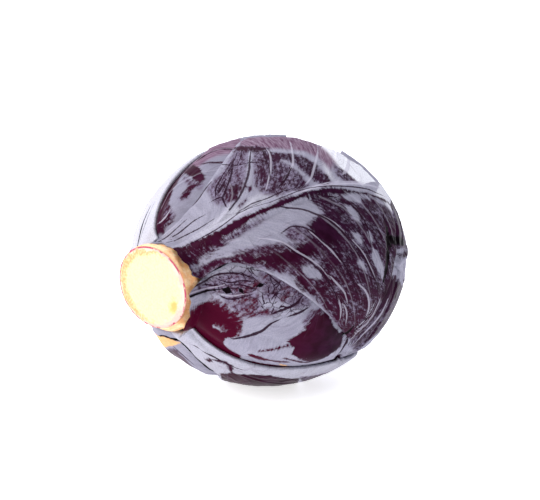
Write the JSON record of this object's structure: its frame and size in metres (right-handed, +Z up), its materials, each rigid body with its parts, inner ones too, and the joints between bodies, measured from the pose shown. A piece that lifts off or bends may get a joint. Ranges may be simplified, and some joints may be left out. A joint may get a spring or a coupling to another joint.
{
  "type": "red cabbage head",
  "caption": "Head of red cabbage lying on its side, with wrapper leaves folded over a tight inner head and a cut stem.",
  "frame": {"origin": "on the surface it lies on, under the middle of the head with its stem", "axes": "+X from the cut stem to the crown, +Z up, -Y towards the side seen in the picture"},
  "size_m": [0.1716, 0.1476, 0.1365],
  "materials": {
    "wrapper_leaf": "wine red leaf with a grey wax bloom, glossy where the bloom is rubbed off",
    "inner_leaf": "wine red leaf with a thin wax bloom",
    "stem_flesh": "moist pale cut flesh with tan, corky leaf scars round it"
  },
  "bodies": {
    "root": {"stem": "stem_flesh", "inner_head": "inner_leaf", "leaf_top_front": "wrapper_leaf", "leaf_underside": "wrapper_leaf", "leaf_back": "wrapper_leaf", "leaf_low_front": "wrapper_leaf", "leaf_top_back": "wrapper_leaf", "leaf_bottom_back": "wrapper_leaf"}
  },
  "joints": []
}
